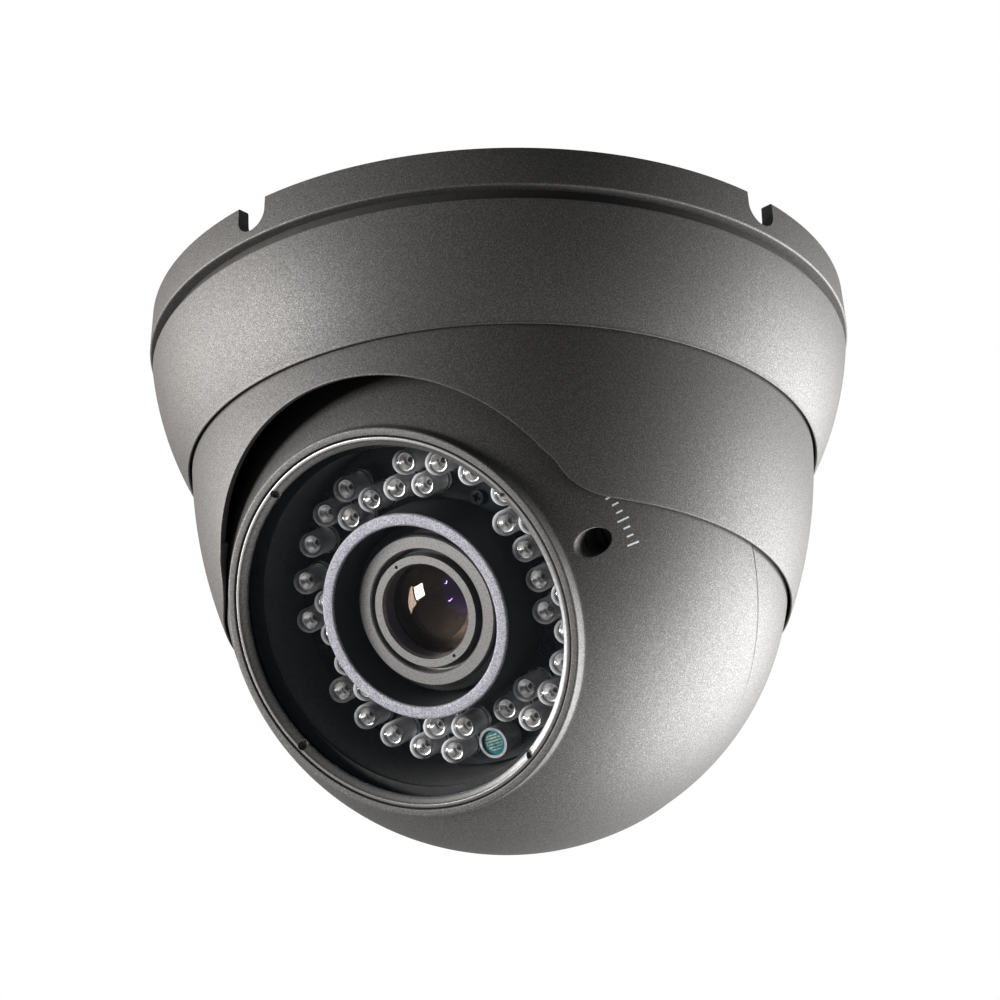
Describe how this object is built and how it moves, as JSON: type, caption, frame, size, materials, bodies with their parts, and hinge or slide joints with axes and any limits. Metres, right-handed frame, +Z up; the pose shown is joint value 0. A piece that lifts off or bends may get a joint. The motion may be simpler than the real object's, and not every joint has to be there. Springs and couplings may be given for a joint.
{
  "type": "dome cctv camera",
  "caption": "Ceiling dome camera: cast base and cover, turning trim shroud, and a tilting ball head with a lamp ring round a varifocal lens behind flat glass.",
  "frame": {"origin": "centre of the ceiling face and of the ceiling screws' circle, where the base meets the ceiling", "axes": "+Z up into the ceiling, the lens looks along -Y and down, +X to the right of somebody facing the lens"},
  "size_m": [0.1412, 0.1412, 0.1129],
  "materials": {
    "painted_metal": "charcoal powder coat with a fine satin speckle on die-cast metal",
    "window_ring": "satin anodised charcoal",
    "steel": "zinc-plated",
    "black_screw": "black oxide",
    "brass": "plain",
    "rubber": "matte black",
    "nylon": "natural nylon",
    "black_plastic": "moulded black",
    "lens_metal": "matt black anodised",
    "lens_ring": "satin anodised grey",
    "lamp_board": "black solder mask",
    "circuit_board": "green solder mask",
    "clear_lamp": "clear epoxy with a metal reflector cup",
    "window_glass": "clear flat glass",
    "lens_glass": "coated glass with purple reflections",
    "filter_glass": "infra-red cut filter",
    "light_sensor": "green photocell with a winding track",
    "sensor_holder": "grey moulded",
    "baffle": "rough sand-blasted grey",
    "image_sensor": "silicon under glass"
  },
  "bodies": {
    "base": {"base_plate": "painted_metal", "base_gasket": "rubber", "cover_shell": "painted_metal", "cover_screws": "steel", "cable_grommet": "rubber", "pan_clamp_ring": "steel", "clamp_ring_screws": "steel", "pan_friction_ring": "nylon", "pan_stop_pin": "steel"},
    "shroud": {"trim_shroud": "painted_metal"},
    "yoke": {"tilt_yoke": "steel"},
    "ball": {"neck_washer": "nylon", "neck_spring_washer": "steel", "neck_circlip": "steel", "ball_front_shell": "painted_metal", "ball_rear_shell": "painted_metal", "seam_gasket": "rubber", "shell_screws": "steel", "window_ring": "window_ring", "window_glass": "window_glass", "window_gasket": "rubber", "lamp_carrier": "black_plastic", "carrier_screws": "steel", "lamp_board": "lamp_board", "lamp_board_screws": "black_screw", "outer_lamps": "clear_lamp", "inner_lamps": "clear_lamp", "light_sensor": "light_sensor", "light_sensor_holder": "sensor_holder", "light_baffle": "baffle", "lens_tube": "lens_metal", "lens_retainer": "lens_ring", "front_element": "lens_glass", "middle_element": "lens_glass", "iris_ring": "lens_metal", "rear_element": "lens_glass", "lens_holder": "black_plastic", "holder_screws": "steel", "sensor_board": "circuit_board", "image_sensor": "image_sensor", "infrared_filter": "filter_glass", "image_processor": "black_plastic", "board_standoffs": "brass", "rear_standoffs": "brass", "board_link": "black_plastic", "power_board": "circuit_board", "power_parts": "black_plastic", "cable_connector": "nylon", "board_screws": "steel", "neck_grommet": "rubber"},
    "focus_ring": {"focus_ring": "lens_ring"},
    "focus_adjuster": {"focus_adjuster": "black_plastic"},
    "zoom_ring": {"zoom_ring": "lens_ring"},
    "zoom_adjuster": {"zoom_adjuster": "black_plastic"}
  },
  "joints": [
    {"name": "shroud_pan", "type": "hinge", "parent": "base", "child": "shroud", "pos_m": [0, 0, -0.0285], "axis": [0, 0, 1], "range_deg": [-174, 174]},
    {"name": "head_tilt", "type": "hinge", "parent": "shroud", "child": "yoke", "pos_m": [0, 0, -0.05672], "axis": [1, 0, 0], "range_deg": [-8, 56]},
    {"name": "head_roll", "type": "hinge", "parent": "yoke", "child": "ball", "pos_m": [0, 0, -0.05672], "axis": [0, -0.8326, -0.5538], "range_deg": [-65, 65]},
    {"name": "focus_turn", "type": "hinge", "parent": "ball", "child": "focus_ring", "pos_m": [0, 0, -0.05672], "axis": [0, -0.8326, -0.5538], "range_deg": [-40, 40]},
    {"name": "focus_adjuster_turn", "type": "hinge", "parent": "ball", "child": "focus_adjuster", "pos_m": [0.04242, -0.00148, -0.0545], "axis": [0, -0.8326, -0.5538], "range_deg": [-161, 161]},
    {"name": "zoom_turn", "type": "hinge", "parent": "ball", "child": "zoom_ring", "pos_m": [0, 0, -0.05672], "axis": [0, -0.8326, -0.5538], "range_deg": [-40, 40]},
    {"name": "zoom_adjuster_turn", "type": "hinge", "parent": "ball", "child": "zoom_adjuster", "pos_m": [-0.04242, -0.00148, -0.0545], "axis": [0, -0.8326, -0.5538], "range_deg": [-161, 161]}
  ],
  "couplings": [
    {"joint": "focus_adjuster_turn", "follows": "focus_turn", "ratio": -4},
    {"joint": "zoom_adjuster_turn", "follows": "zoom_turn", "ratio": -4}
  ]
}
